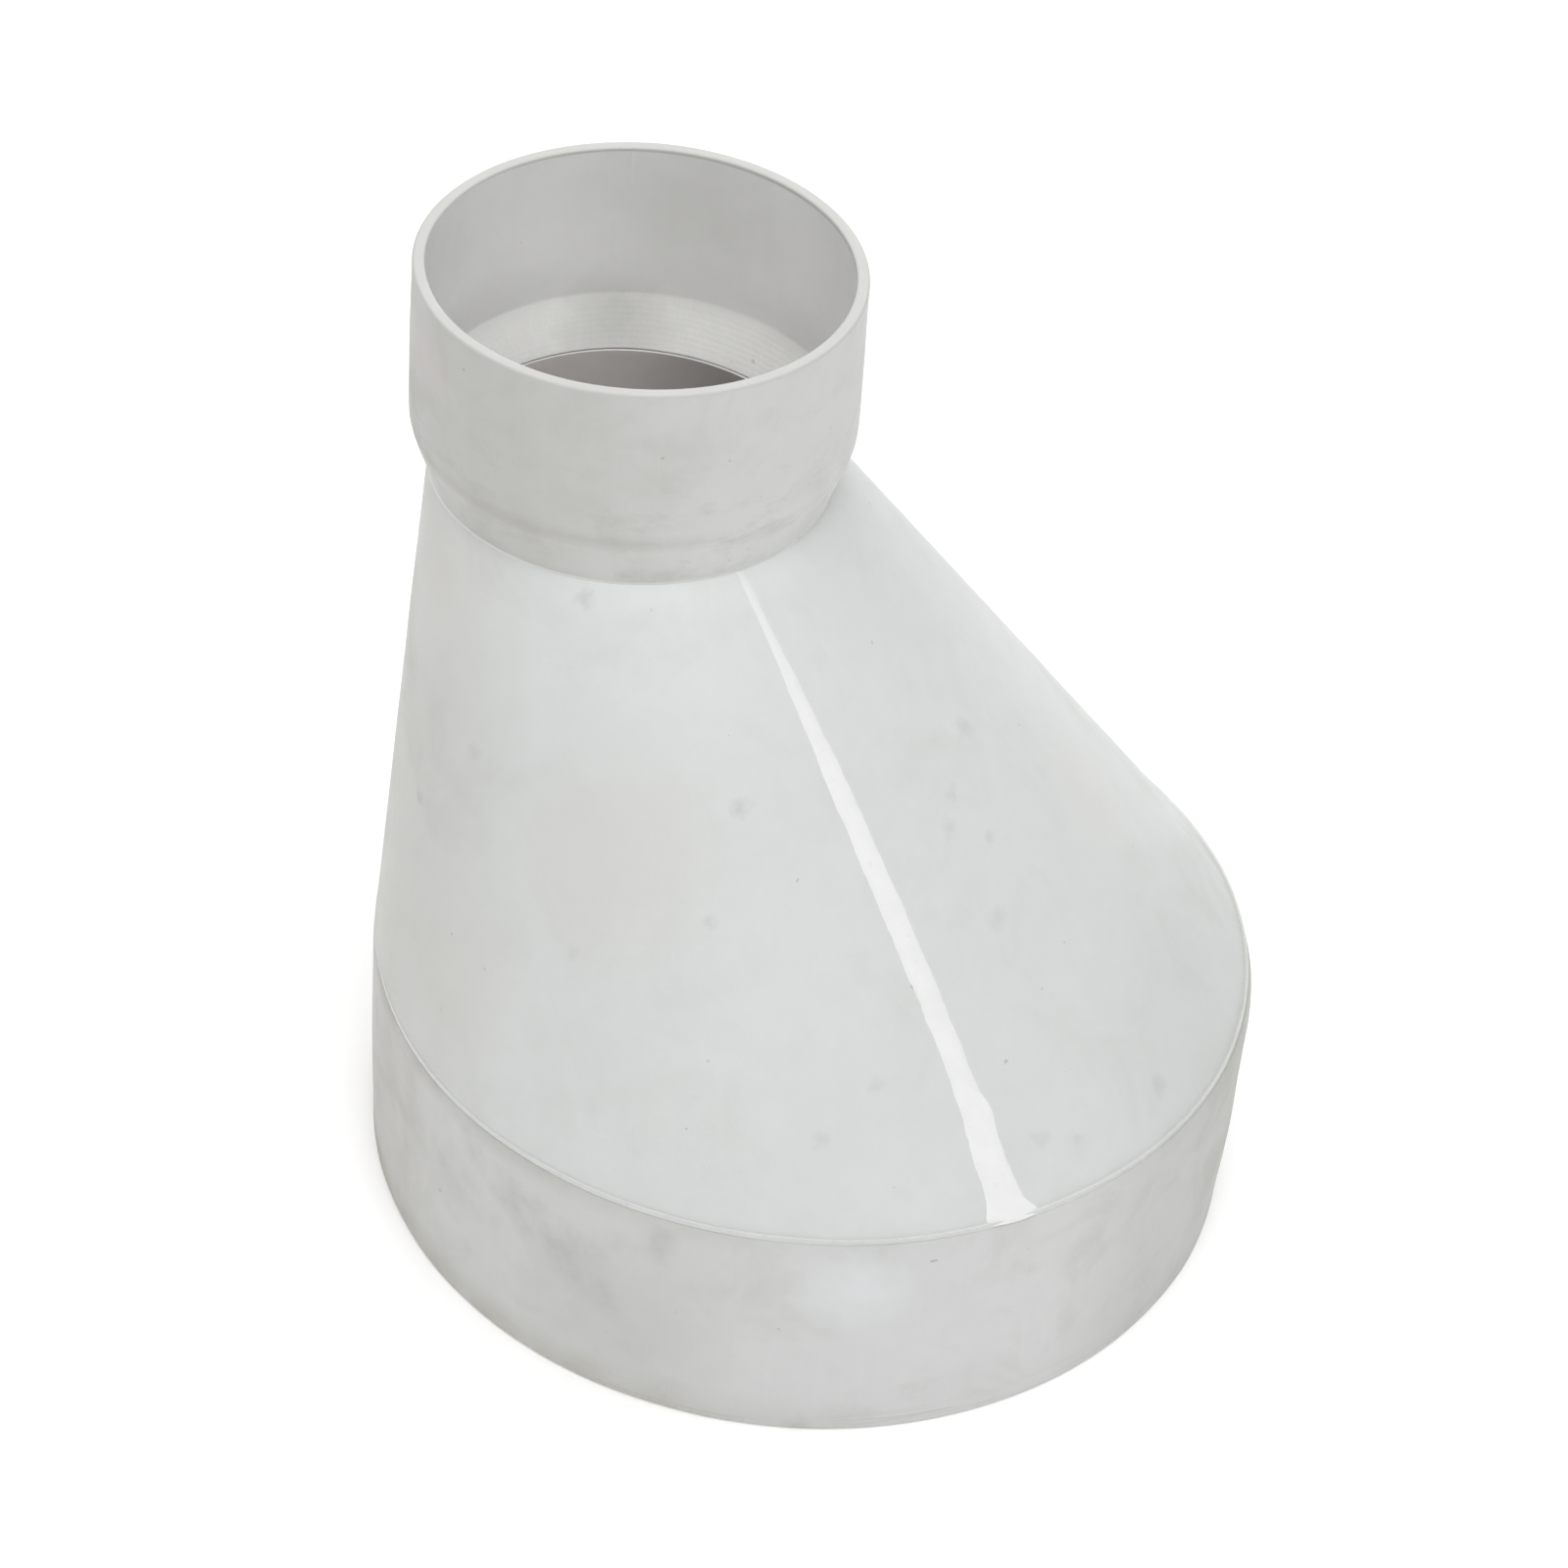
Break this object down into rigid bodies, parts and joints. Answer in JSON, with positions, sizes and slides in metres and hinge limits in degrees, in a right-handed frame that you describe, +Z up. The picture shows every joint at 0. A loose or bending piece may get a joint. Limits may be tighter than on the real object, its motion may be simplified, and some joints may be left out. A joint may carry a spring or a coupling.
{
  "type": "eccentric pipe reducer",
  "caption": "Eccentric pipe reducer: an offset cone rolled from plastic sheet, welded between a wide round collar and a small necked pipe end.",
  "frame": {"origin": "centre of the large collar's lower end, which the part stands on", "axes": "+Z up along the collar's axis, from the large end to the small end; the small end is offset towards -X, so the -X side is nearly straight and the +X side slopes"},
  "size_m": [0.2326, 0.2326, 0.256],
  "materials": {
    "pipe_pvc": "satin light grey rigid PVC pipe, faintly mottled and scuffed",
    "sheet_pvc": "satin pale grey rigid PVC sheet, slightly cooler and lighter than the pipe",
    "weld_pvc": "white glossy weld bead"
  },
  "bodies": {
    "root": {"small_socket": "pipe_pvc", "neck_weld": "weld_pvc", "cone_shell": "sheet_pvc", "cone_seam_weld": "weld_pvc", "base_weld": "weld_pvc", "large_collar": "pipe_pvc"}
  },
  "joints": []
}
